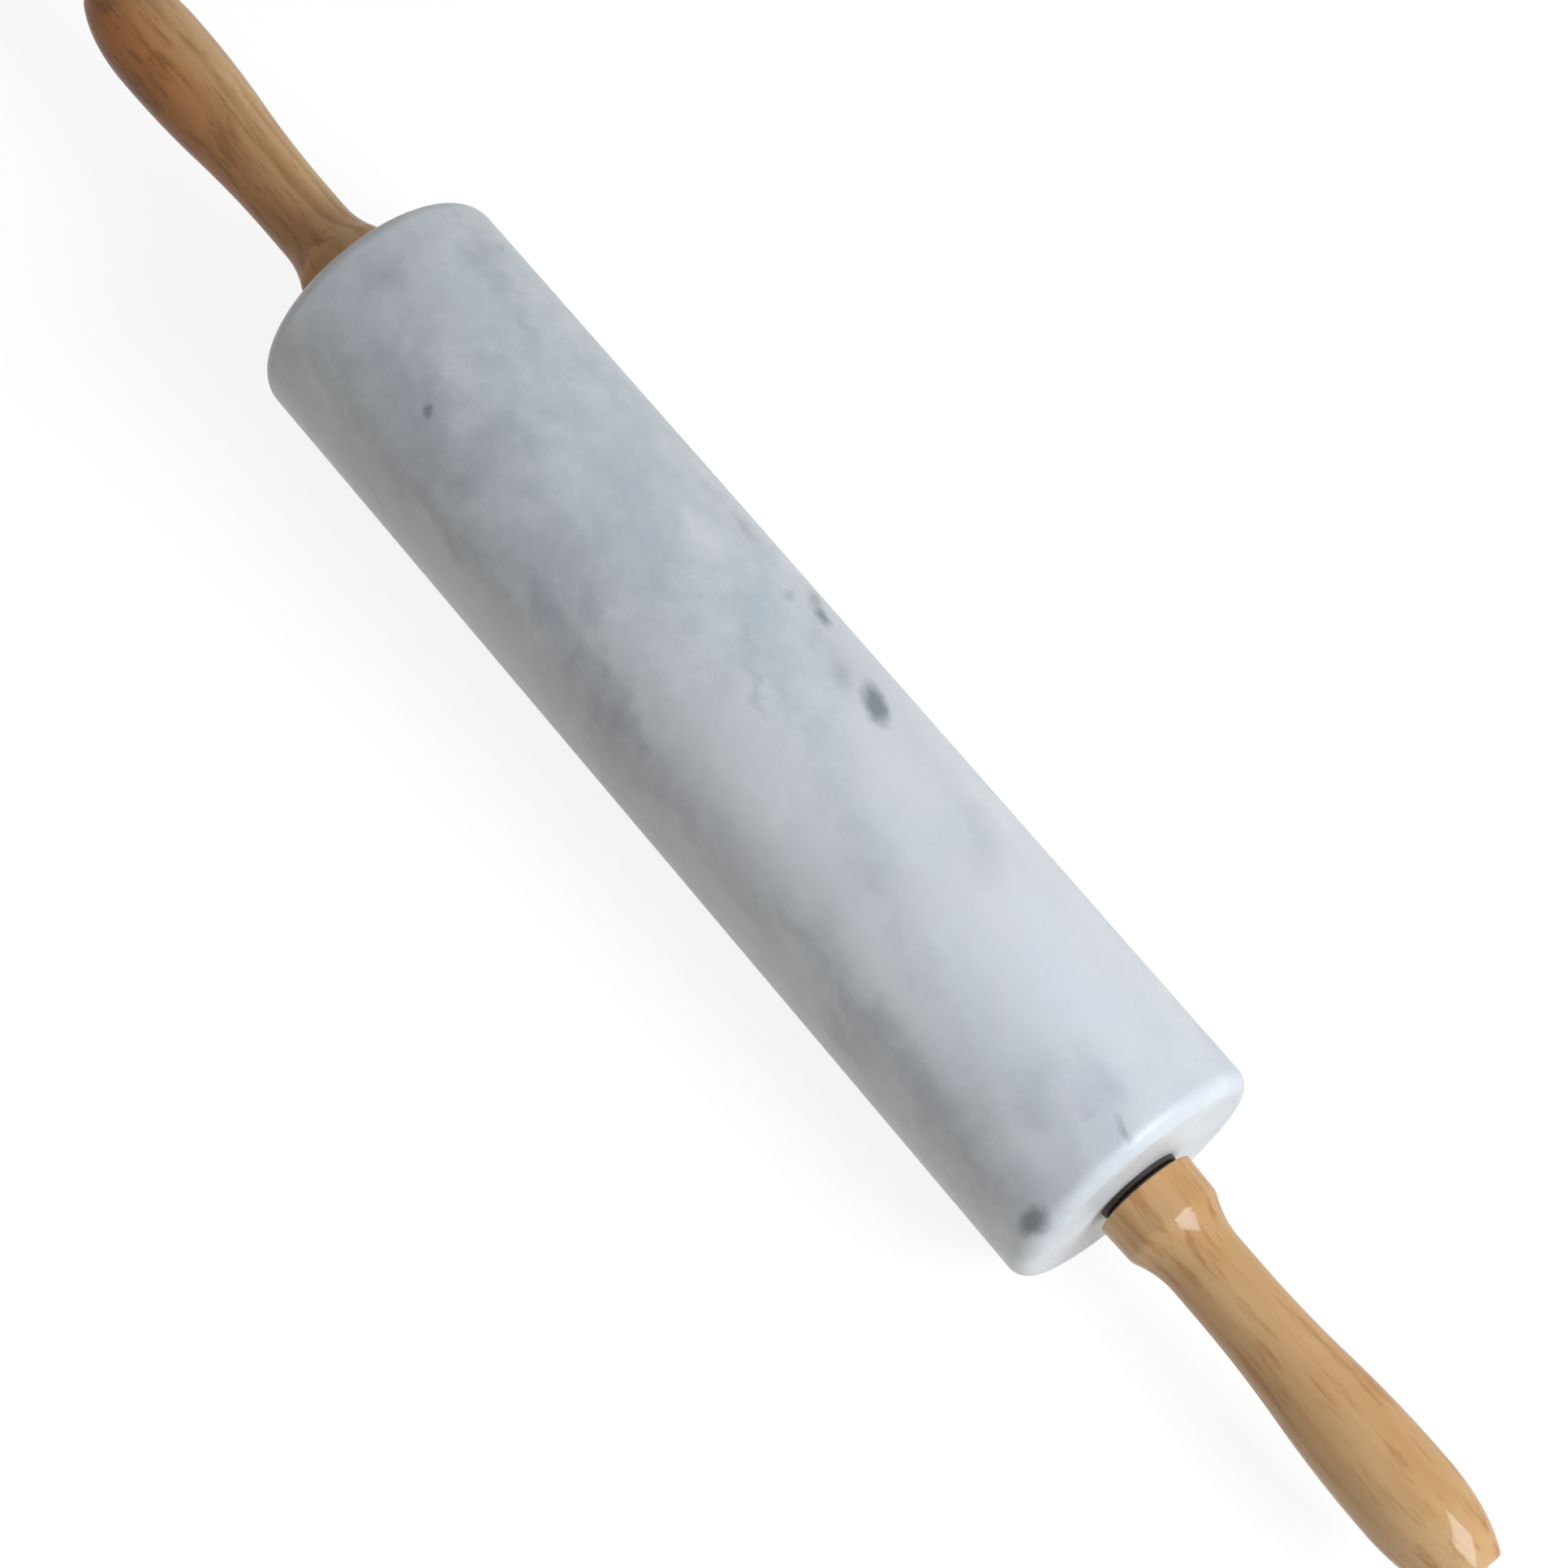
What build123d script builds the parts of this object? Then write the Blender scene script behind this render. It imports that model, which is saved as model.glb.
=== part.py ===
"""Marble rolling pin: a stone barrel that turns on a steel axle between two turned wooden handles.

The X axis runs along the axle, +Z is up, and the origin is the middle of the barrel.
Sizes are in millimetres. What belongs to one end of the pin is measured outward from the
middle, so one description serves the left end (side -1) and the right end (side +1).
"""

import os
from math import cos, pi, radians, tan

from build123d import *

# Marble barrel
barrel_length = 254.0
barrel_diameter = 60.3
barrel_edge_round = 4.0
bore_diameter = 16.0
bore_mouth_chamfer = 0.5

# Bearing bush, moulded in nylon and glued into each end of the bore
bush_length = 16.0
bush_rim_wall = 1.3
bush_hub_wall = 1.3
bush_web = 2.0
bush_rib_count = 6
bush_rib_thickness = 1.2
flange_overhang = 1.2
flange_thickness = 1.2
flange_edge_chamfer = 0.3

# Loose thrust washer between the bush and the handle
thrust_washer_inset = 0.6
thrust_washer_thickness = 0.5
thrust_washer_clearance = 0.10
end_float = 0.25

# Steel axle
axle_diameter = 8.0
running_clearance = 0.05
thread_diameter = 6.0
thread_clearance = 0.05
axle_tip_overrun = 1.5
axle_tip_chamfer = 0.8
axle_shoulder_chamfer = 0.4

# Lock nut that seats on the shoulder of the axle
nut_across_flats = 10.0
nut_thickness = 3.2
nut_corner_chamfer = 0.5

# Split spring washer between the lock nut and the threaded insert
spring_washer_diameter = 11.4
spring_washer_thickness = 1.5
spring_washer_slit = 0.8
spring_washer_slit_lean = 20.0

# Headed brass insert, screwed into the handle by a hexagon socket in its head
insert_diameter = 10.0
insert_length = 14.0
insert_head_overhang = 1.2
insert_head_thickness = 1.2
insert_socket_across_flats = 7.0
insert_socket_depth = 4.0
insert_tip_chamfer = 0.6

# Turned wooden handle, with places measured outward from its inner face
handle_length = 97.4
collar_face_diameter = 22.6
collar_shoulder_diameter = 22.0
collar_length = 9.0
collar_edge_chamfer = 0.4
collar_shoulder_round = 2.0
neck_diameter = 16.9
neck_start = 18.8
neck_end = 25.8
swell_diameter = 21.8
swell_length = 2.5
nose_length = 19.6
nose_turn_length_share = 0.54
nose_turn_fall_share = 0.25
tip_diameter = 13.0
tip_edge_chamfer = 0.5
recess_clearance = 0.6
tip_hole_clearance = 0.3
tip_hole_spare_depth = 2.0

# One overrun serves every cut that has to break through a face, and two radii that are
# closer than same_radius are taken as one
cut_overrun = 1.0
same_radius = 0.001 * axle_diameter

# Places along the axle, measured outward from the middle of the barrel
barrel_end = barrel_length / 2
flange_face = barrel_end + flange_thickness
thrust_washer_start = flange_face + end_float
handle_start = thrust_washer_start + thrust_washer_thickness + end_float
spring_washer_start = handle_start + nut_thickness
insert_start = spring_washer_start + spring_washer_thickness
insert_end = insert_start + insert_head_thickness + insert_length
axle_end = insert_end + axle_tip_overrun

# Diameters that follow from the fits
axle_bore_diameter = axle_diameter + 2 * running_clearance
bush_hub_diameter = axle_bore_diameter + 2 * bush_hub_wall
flange_diameter = bore_diameter + 2 * flange_overhang
thrust_washer_diameter = flange_diameter - 2 * thrust_washer_inset
thread_bore_diameter = thread_diameter + 2 * thread_clearance
nut_across_corners = nut_across_flats / cos(pi / 6)
insert_head_diameter = insert_diameter + 2 * insert_head_overhang
widest_in_recess = max(nut_across_corners, spring_washer_diameter, insert_head_diameter)
recess_diameter = widest_in_recess + 2 * recess_clearance
tip_hole_diameter = thread_diameter + 2 * tip_hole_clearance

# Places along the handle, measured outward from its inner face
swell_end = handle_length - nose_length
swell_start = swell_end - swell_length

sides = {"left": -1, "right": 1}

os.makedirs("parts", exist_ok=True)


def outward_plane(side, distance):
    """Plane across the axle at a distance from the middle, facing away from the middle."""
    return Plane(origin=(side * distance, 0, 0), z_dir=(side, 0, 0))


def profile_plane(side, distance):
    """Plane for a profile that is turned about the axle: its x runs outward, its y is the radius."""
    return Plane(origin=(side * distance, 0, 0), x_dir=(side, 0, 0), z_dir=(0, -side, 0))


def export(builder, name):
    """Label a finished piece and write it under its name."""
    builder.part.label = name
    export_step(builder.part, f"parts/{name}.step")


def at_radius(builder, radius):
    """The round edges of a piece that have the given radius."""
    return builder.edges().filter_by(GeomType.CIRCLE).filter_by(
        lambda edge: abs(edge.radius - radius) < same_radius
    )


def outermost(edges, side):
    """The edge that lies farthest from the middle of the barrel."""
    return edges.sort_by(Axis.X)[-1 if side > 0 else 0]


# Marble barrel: a ground cylinder, bored right through, with its outer edges well rounded
with BuildPart() as marble_barrel:
    with BuildSketch(Plane.YZ):
        Circle(barrel_diameter / 2)
        Circle(bore_diameter / 2, mode=Mode.SUBTRACT)
    extrude(amount=barrel_end, both=True)
    fillet(at_radius(marble_barrel, barrel_diameter / 2), radius=barrel_edge_round)
    chamfer(at_radius(marble_barrel, bore_diameter / 2), length=bore_mouth_chamfer)
export(marble_barrel, "marble_barrel")


# Axle: one steel rod with a turned-down, threaded end beyond each shoulder
with BuildPart() as axle_rod:
    with BuildSketch(Plane.YZ):
        Circle(thread_diameter / 2)
    extrude(amount=axle_end, both=True)
    chamfer(at_radius(axle_rod, thread_diameter / 2), length=axle_tip_chamfer)
    with BuildSketch(Plane.YZ):
        Circle(axle_diameter / 2)
    extrude(amount=handle_start, both=True)
    chamfer(at_radius(axle_rod, axle_diameter / 2), length=axle_shoulder_chamfer)
export(axle_rod, "axle_rod")


# Bush: a flange, a rim that fills the bore and a hub that carries the axle, joined by a web
# under the flange and by thin ribs, as a moulding with even walls
for name, side in sides.items():
    with BuildPart() as bush:
        with BuildSketch(profile_plane(side, barrel_end)):
            with BuildLine():
                rim_outside = bore_diameter / 2
                rim_inside = rim_outside - bush_rim_wall
                hub_outside = bush_hub_diameter / 2
                hub_inside = axle_bore_diameter / 2
                Polyline(
                    (-bush_length, hub_inside),
                    (flange_thickness, hub_inside),
                    (flange_thickness, flange_diameter / 2),
                    (0, flange_diameter / 2),
                    (0, rim_outside),
                    (-bush_length, rim_outside),
                    (-bush_length, rim_inside),
                    (flange_thickness - bush_web, rim_inside),
                    (flange_thickness - bush_web, hub_outside),
                    (-bush_length, hub_outside),
                    close=True,
                )
            make_face()
        revolve(axis=Axis.X)
        rib_height = rim_inside - hub_outside + bush_rim_wall / 2 + bush_hub_wall / 2
        rib_middle = (rim_inside + hub_outside) / 2
        with BuildSketch(outward_plane(side, barrel_end - bush_length)):
            with PolarLocations(rib_middle, bush_rib_count):
                Rectangle(rib_height, bush_rib_thickness)
        extrude(amount=bush_length)
        chamfer(outermost(at_radius(bush, flange_diameter / 2), side), length=flange_edge_chamfer)
    export(bush, f"{name}_bush")


# Thrust washer: a thin ring, loose on the axle, that keeps the bush off the handle
for name, side in sides.items():
    with BuildPart() as thrust_washer:
        with BuildSketch(outward_plane(side, thrust_washer_start)):
            Circle(thrust_washer_diameter / 2)
            Circle(axle_diameter / 2 + thrust_washer_clearance, mode=Mode.SUBTRACT)
        extrude(amount=thrust_washer_thickness)
    export(thrust_washer, f"{name}_thrust_washer")


# Lock nut: a thin hexagon nut with its corners turned off on both faces
for name, side in sides.items():
    with BuildPart() as lock_nut:
        with BuildSketch(outward_plane(side, handle_start)):
            Circle(nut_across_corners / 2)
        extrude(amount=nut_thickness)
        chamfer(lock_nut.edges().filter_by(GeomType.CIRCLE), length=nut_corner_chamfer)
        with BuildSketch(outward_plane(side, handle_start)):
            RegularPolygon(nut_across_flats / 2, side_count=6, major_radius=False)
        extrude(amount=nut_thickness, mode=Mode.INTERSECT)
        with BuildSketch(outward_plane(side, handle_start)):
            Circle(thread_bore_diameter / 2)
        extrude(amount=nut_thickness, mode=Mode.SUBTRACT)
    export(lock_nut, f"{name}_lock_nut")


# Spring washer: pressed flat by the joint, split by one slanting slit
for name, side in sides.items():
    with BuildPart() as spring_washer:
        with BuildSketch(outward_plane(side, spring_washer_start)):
            Circle(spring_washer_diameter / 2)
            Circle(thread_bore_diameter / 2, mode=Mode.SUBTRACT)
        extrude(amount=spring_washer_thickness)
        slit_plane = Plane(
            origin=(side * spring_washer_start, 0, 0), x_dir=(side, 0, 0), z_dir=(0, 0, side)
        )
        slit_near = -cut_overrun
        slit_far = spring_washer_thickness + cut_overrun
        slit_slope = tan(radians(spring_washer_slit_lean))
        half_slit = spring_washer_slit / 2
        with BuildSketch(slit_plane):
            with BuildLine():
                Polyline(
                    (slit_near, slit_near * slit_slope - half_slit),
                    (slit_far, slit_far * slit_slope - half_slit),
                    (slit_far, slit_far * slit_slope + half_slit),
                    (slit_near, slit_near * slit_slope + half_slit),
                    close=True,
                )
            make_face()
        extrude(amount=spring_washer_diameter / 2 + cut_overrun, mode=Mode.SUBTRACT)
    export(spring_washer, f"{name}_spring_washer")


# Threaded insert: a headed brass sleeve, bored right through, with a hexagon socket in its head
for name, side in sides.items():
    with BuildPart() as threaded_insert:
        with BuildSketch(outward_plane(side, insert_start)):
            Circle(insert_head_diameter / 2)
        extrude(amount=insert_head_thickness)
        with BuildSketch(outward_plane(side, insert_start + insert_head_thickness)):
            Circle(insert_diameter / 2)
        extrude(amount=insert_length)
        chamfer(
            outermost(at_radius(threaded_insert, insert_diameter / 2), side),
            length=insert_tip_chamfer,
        )
        with BuildSketch(outward_plane(side, insert_start)):
            Circle(thread_bore_diameter / 2)
        extrude(amount=insert_end - insert_start, mode=Mode.SUBTRACT)
        with BuildSketch(outward_plane(side, insert_start)):
            RegularPolygon(insert_socket_across_flats / 2, side_count=6, major_radius=False)
        extrude(amount=insert_socket_depth, mode=Mode.SUBTRACT)
    export(threaded_insert, f"{name}_threaded_insert")


# Handle: a collar, a cove down to the neck, a long double curve out to the swell and a nose
# that falls ever faster to a flat tip, bored from its inner face for the nut, the insert and
# the axle's end
for name, side in sides.items():
    with BuildPart() as handle:
        with BuildSketch(profile_plane(side, handle_start)):
            with BuildLine():
                neck_radius = neck_diameter / 2
                swell_radius = swell_diameter / 2
                tip_radius = tip_diameter / 2
                nose_fall = swell_radius - tip_radius
                turn_over = ((neck_end + swell_start) / 2, (neck_radius + swell_radius) / 2)
                nose_turn = (
                    swell_end + nose_turn_length_share * nose_length,
                    swell_radius - nose_turn_fall_share * nose_fall,
                )
                face = Line((0, 0), (0, collar_face_diameter / 2))
                collar = Line(face @ 1, (collar_length, collar_shoulder_diameter / 2))
                cove = TangentArc((neck_start, neck_radius), collar @ 1, tangent=(-1, 0))
                neck = Line(cove @ 0, (neck_end, neck_radius))
                grip_hollow = TangentArc(neck @ 1, turn_over, tangent=(1, 0))
                grip_swell = TangentArc(turn_over, (swell_start, swell_radius), tangent=grip_hollow % 1)
                crest = Line(grip_swell @ 1, (swell_end, swell_radius))
                nose = TangentArc(crest @ 1, nose_turn, tangent=(1, 0))
                nose_end = TangentArc(nose @ 1, (handle_length, tip_radius), tangent=nose % 1)
                tip = Line(nose_end @ 1, (handle_length, 0))
                Line(tip @ 1, face @ 0)
            make_face()
        revolve(axis=Axis.X)
        fillet(at_radius(handle, collar_shoulder_diameter / 2), radius=collar_shoulder_round)
        chamfer(at_radius(handle, collar_face_diameter / 2), length=collar_edge_chamfer)
        chamfer(at_radius(handle, tip_diameter / 2), length=tip_edge_chamfer)
        with Locations(Plane(origin=(side * handle_start, 0, 0), z_dir=(-side, 0, 0))):
            CounterBoreHole(
                radius=insert_diameter / 2,
                counter_bore_radius=recess_diameter / 2,
                counter_bore_depth=insert_start + insert_head_thickness - handle_start,
                depth=insert_end - handle_start,
            )
            Hole(
                radius=tip_hole_diameter / 2,
                depth=axle_end + tip_hole_spare_depth - handle_start,
            )
    export(handle, f"{name}_handle")
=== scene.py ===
"""Looks of a marble rolling pin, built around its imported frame.

The X axis runs along the axle and +Z is up. The pin lies on its barrel. Sizes in this script are
in millimetres, as on a workshop drawing, and are turned to metres where Blender's data is made.
"""

import logging
from collections.abc import Mapping, Sequence
from dataclasses import dataclass
from enum import Enum
from math import atan2, ceil, cos, pi, radians, sin
from typing import ClassVar

import bmesh
import bpy
from mathutils import Matrix, Vector

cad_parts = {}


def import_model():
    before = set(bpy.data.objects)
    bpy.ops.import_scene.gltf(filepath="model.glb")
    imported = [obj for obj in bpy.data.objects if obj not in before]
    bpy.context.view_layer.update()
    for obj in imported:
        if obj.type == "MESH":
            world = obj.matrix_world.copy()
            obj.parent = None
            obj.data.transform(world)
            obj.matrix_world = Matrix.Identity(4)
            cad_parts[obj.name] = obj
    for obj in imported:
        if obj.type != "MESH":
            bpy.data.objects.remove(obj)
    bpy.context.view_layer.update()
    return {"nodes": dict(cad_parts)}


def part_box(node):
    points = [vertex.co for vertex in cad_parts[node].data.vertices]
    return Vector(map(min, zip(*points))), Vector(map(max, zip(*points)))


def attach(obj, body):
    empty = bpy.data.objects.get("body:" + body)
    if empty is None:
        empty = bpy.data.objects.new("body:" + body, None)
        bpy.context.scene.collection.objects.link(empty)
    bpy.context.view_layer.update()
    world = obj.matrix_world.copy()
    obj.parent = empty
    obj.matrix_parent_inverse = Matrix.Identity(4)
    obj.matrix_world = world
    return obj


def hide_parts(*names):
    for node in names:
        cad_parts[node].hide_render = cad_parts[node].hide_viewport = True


MM = 0.001
FULL_TURN = 2 * pi
# A turned piece's edges look sharp where its faces meet at a wider angle than this
SHARP_ANGLE = radians(32)

log = logging.getLogger("rolling_pin")


class Side(Enum):
    """An end of the pin. Its value is the sign of X there."""

    LEFT = -1
    RIGHT = 1

    def node(self, piece: str) -> str:
        """Name of this end's node for a piece."""
        return f"{self.name.lower()}_{piece}"


class Body(Enum):
    """The frame's moving bodies."""

    HANDLES_AND_AXLE = "handles_and_axle"
    ROLLER = "roller"
    LEFT_WASHER = "left_washer"
    RIGHT_WASHER = "right_washer"


class Tone(Enum):
    """How a mark in the marble differs from the stone around it."""

    SPOT = "spot"
    SMOKE = "smoke"
    MIST = "mist"
    MILK = "milk"


def linear_colour(hex_code: str) -> tuple[float, float, float, float]:
    """Turn an sRGB colour to the linear colour that Blender's sockets take.

    Args:
        hex_code: the colour as six hexadecimal digits after a hash sign.

    Returns:
        Linear red, green and blue, with an alpha of one.
    """
    channels = [int(hex_code[i : i + 2], 16) / 255 for i in (1, 3, 5)]
    linear = [c / 12.92 if c <= 0.04045 else ((c + 0.055) / 1.055) ** 2.4 for c in channels]
    return (*linear, 1.0)


def add_node(
    tree: bpy.types.NodeTree,
    kind: str,
    inputs: Mapping[str | int, object] | None = None,
    **settings: object,
) -> bpy.types.Node:
    """Add a node with its settings, its values and its links.

    Args:
        tree: the node tree that the node joins.
        kind: the node's type name in Blender.
        inputs: a value, or the socket of another node, for each named or numbered input.
        **settings: properties of the node itself.

    Returns:
        The new node.
    """
    node = tree.nodes.new(kind)
    for name, value in settings.items():
        setattr(node, name, value)
    for key, value in (inputs or {}).items():
        if isinstance(value, bpy.types.NodeSocket):
            tree.links.new(value, node.inputs[key])
        else:
            node.inputs[key].default_value = value
    return node


class Outline:
    """Half of a turned piece's section, drawn with a pen.

    The pen's x runs along the axle and its y is the radius, both in millimetres.
    """

    ARC_TURN = radians(4)
    ARC_STEP = 1.5
    EASE_STEPS = 8
    HALVINGS = 20

    def __init__(self, x: float, radius: float) -> None:
        """Put the pen down at a point."""
        self.points = [Vector((x, radius))]
        self.heading = Vector((0.0, 1.0))
        self.eased: dict[int, float] = {}

    def line(self, x: float, radius: float, ease: float = 0.0) -> "Outline":
        """Draw a straight stretch.

        Args:
            x: place of its far end along the axle.
            radius: radius of its far end.
            ease: how far from its far end the corner there starts to round off.

        Returns:
            The outline itself.
        """
        target = Vector((x, radius))
        self.heading = (target - self.points[-1]).normalized()
        self.points.append(target)
        if ease:
            self.eased[len(self.points) - 1] = ease
        return self

    def arc(self, x: float, radius: float, ease: float = 0.0) -> "Outline":
        """Draw an arc that carries on in the pen's heading, with Args and Returns as for line."""
        target = Vector((x, radius))
        stretch, self.heading = self._tangent_arc(self.points[-1], target, self.heading)
        self.points.extend(stretch)
        if ease:
            self.eased[len(self.points) - 1] = ease
        return self

    def arc_into(self, x: float, radius: float, heading: Vector) -> "Outline":
        """Draw an arc that arrives with a given heading.

        Args:
            x: place of its far end along the axle.
            radius: radius of its far end.
            heading: the pen's heading as it arrives.

        Returns:
            The outline itself.
        """
        target = Vector((x, radius))
        stretch, _ = self._tangent_arc(target, self.points[-1], -heading)
        self.points.extend([*reversed(stretch[:-1]), target])
        self.heading = heading
        return self

    def finished(self) -> list[Vector]:
        """The outline's points, with the marked corners rounded off."""
        result: list[Vector] = []
        for index, point in enumerate(self.points):
            if index in self.eased:
                result.extend(self._rounded_corner(index))
            elif not self._lies_in_a_corner(point):
                result.append(point)
        return result

    def _lies_in_a_corner(self, point: Vector) -> bool:
        """Whether a point lies where the rounding of a corner takes its place."""
        return any((point - self.points[i]).length < reach for i, reach in self.eased.items())

    def _rounded_corner(self, index: int) -> list[Vector]:
        """Points of the curve that rounds off a marked corner."""
        corner = self.points[index]
        before = self._at_distance(index, self.eased[index], -1)
        after = self._at_distance(index, self.eased[index], 1)
        curve = []
        for step in range(self.EASE_STEPS + 1):
            t = step / self.EASE_STEPS
            curve.append(before.lerp(corner, t).lerp(corner.lerp(after, t), t))
        return curve

    def _at_distance(self, index: int, reach: float, direction: int) -> Vector:
        """The point of the outline at a straight distance from one of its points."""
        corner = self.points[index]
        inner = corner
        while True:
            index += direction
            outer = self.points[index]
            if (outer - corner).length >= reach:
                break
            inner = outer
        low, high = 0.0, 1.0
        for _ in range(self.HALVINGS):
            middle = (low + high) / 2
            if (inner.lerp(outer, middle) - corner).length < reach:
                low = middle
            else:
                high = middle
        return inner.lerp(outer, high)

    def _tangent_arc(
        self, start: Vector, end: Vector, heading: Vector
    ) -> tuple[list[Vector], Vector]:
        """Points after the start of the arc that leaves it with a heading, and the last heading."""
        chord = end - start
        normal = Vector((-heading.y, heading.x))
        across = chord.dot(normal)
        bend = chord.length_squared / (2 * across)
        turn = 2 * atan2(across, chord.dot(heading))
        steps = max(ceil(abs(turn) / self.ARC_TURN), ceil(abs(turn * bend) / self.ARC_STEP))
        stretch = []
        for step in range(1, steps + 1):
            angle = turn * step / steps
            stretch.append(start + bend * (sin(angle) * heading + (1 - cos(angle)) * normal))
        return stretch, cos(turn) * heading + sin(turn) * normal


def turned_mesh(
    name: str, points: Sequence[Vector], flip: int = 1, segments: int = 192
) -> bpy.types.Mesh:
    """Turn an outline about the X axis into a closed mesh.

    Args:
        name: the mesh's name.
        points: the outline. It runs from the axis to the axis, or it is a ring's whole section.
        flip: 1, or -1 for the mirrored piece at the other end of the pin.
        segments: number of steps round the axis.

    Returns:
        The mesh, in metres, with its normals outward.
    """
    build = bmesh.new()
    rings = []
    for point in points:
        count = 1 if point.y == 0 else segments
        rings.append(
            [
                build.verts.new(
                    (
                        flip * point.x * MM,
                        point.y * MM * sin(FULL_TURN * i / segments),
                        point.y * MM * cos(FULL_TURN * i / segments),
                    )
                )
                for i in range(count)
            ]
        )
    is_ring = points[0].y > 0
    pairs = list(zip(rings, rings[1:] + rings[:1])) if is_ring else list(zip(rings, rings[1:]))
    for near, far in pairs:
        for i in range(segments):
            corners = [
                near[i % len(near)],
                near[(i + 1) % len(near)],
                far[(i + 1) % len(far)],
                far[i % len(far)],
            ]
            build.faces.new(list(dict.fromkeys(corners)))
    bmesh.ops.recalc_face_normals(build, faces=build.faces)
    mesh = bpy.data.meshes.new(name)
    build.to_mesh(mesh)
    build.free()
    mesh.shade_smooth()
    mesh.set_sharp_from_angle(angle=SHARP_ANGLE)
    return mesh


def add_piece(
    name: str,
    mesh: bpy.types.Mesh,
    material: bpy.types.Material,
    body: Body,
    replaced: str,
) -> None:
    """Put a piece in the scene in place of a node of the frame.

    Args:
        name: the piece's name.
        mesh: its mesh, in the frame's metres.
        material: its finish.
        body: the body that carries it.
        replaced: the node that it stands for.
    """
    piece = bpy.data.objects.new(name, mesh)
    bpy.context.scene.collection.objects.link(piece)
    mesh.materials.append(material)
    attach(piece, body.value)
    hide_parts(replaced)
    log.info("%s: %d faces, rides on %s", name, len(mesh.polygons), body.value)


def reach_of(node: str) -> tuple[float, float, float]:
    """A round node's lowest and highest place along the axle and its radius, in millimetres."""
    low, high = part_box(node)
    return low.x / MM, high.x / MM, high.z / MM


def new_material(name: str) -> tuple[bpy.types.Material, bpy.types.NodeTree]:
    """A material with an empty node tree, and that tree."""
    material = bpy.data.materials.new(name)
    material.use_nodes = True
    material.node_tree.nodes.clear()
    return material, material.node_tree


def in_millimetres(tree: bpy.types.NodeTree) -> bpy.types.NodeSocket:
    """The surface's own place in millimetres, so that a pattern of n mm has a scale of 1/n."""
    place = add_node(tree, "ShaderNodeTexCoord").outputs["Object"]
    scaled = add_node(
        tree,
        "ShaderNodeVectorMath",
        {0: place, "Scale": 1 / MM},
        operation="SCALE",
    )
    return scaled.outputs["Vector"]


def seen_or_mirrored(tree: bpy.types.NodeTree) -> bpy.types.NodeSocket:
    """One for a ray from the camera, from gloss or through glass, and zero for any other."""
    path = add_node(tree, "ShaderNodeLightPath").outputs
    direct = add_node(
        tree,
        "ShaderNodeMath",
        {0: path["Is Camera Ray"], 1: path["Is Transmission Ray"]},
        operation="MAXIMUM",
    )
    either = add_node(
        tree,
        "ShaderNodeMath",
        {0: direct.outputs["Value"], 1: path["Is Glossy Ray"]},
        operation="MAXIMUM",
    )
    return either.outputs["Value"]


def finish_surface(
    tree: bpy.types.NodeTree, inputs: Mapping[str | int, object], **settings: object
) -> None:
    """Add the Principled shader with its inputs and join it to the material's output."""
    shader = add_node(tree, "ShaderNodeBsdfPrincipled", inputs, **settings)
    add_node(tree, "ShaderNodeOutputMaterial", {"Surface": shader.outputs["BSDF"]})


@dataclass(frozen=True)
class Mark:
    """A mark in the marble at a place on the barrel's surface.

    Args:
        along: its middle along the axle, in millimetres.
        around: its middle's angle from +Z towards +Y, in degrees.
        length: its longest size, in millimetres.
        width: its size across that, in millimetres.
        slant: the angle from the axle to its length, in degrees, positive towards +Y at the top.
        strength: how fully it takes its colour at its middle.
        fade_share: it fades out from this share of its half size inside its rim to half as far
            outside it.
    """

    along: float
    around: float
    length: float
    width: float
    slant: float
    strength: float
    fade_share: float = 1.0


@dataclass(frozen=True)
class Noise:
    """Smooth noise in the stone.

    Args:
        size: the size of its largest forms, in millimetres.
        detail: how many finer layers it carries.
        low: the noise level that counts as none of its effect.
        high: the noise level that counts as its full effect.
        grey_share: its share in how grey the stone is.
    """

    size: float
    detail: float
    low: float
    high: float
    grey_share: float = 0.0


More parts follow.
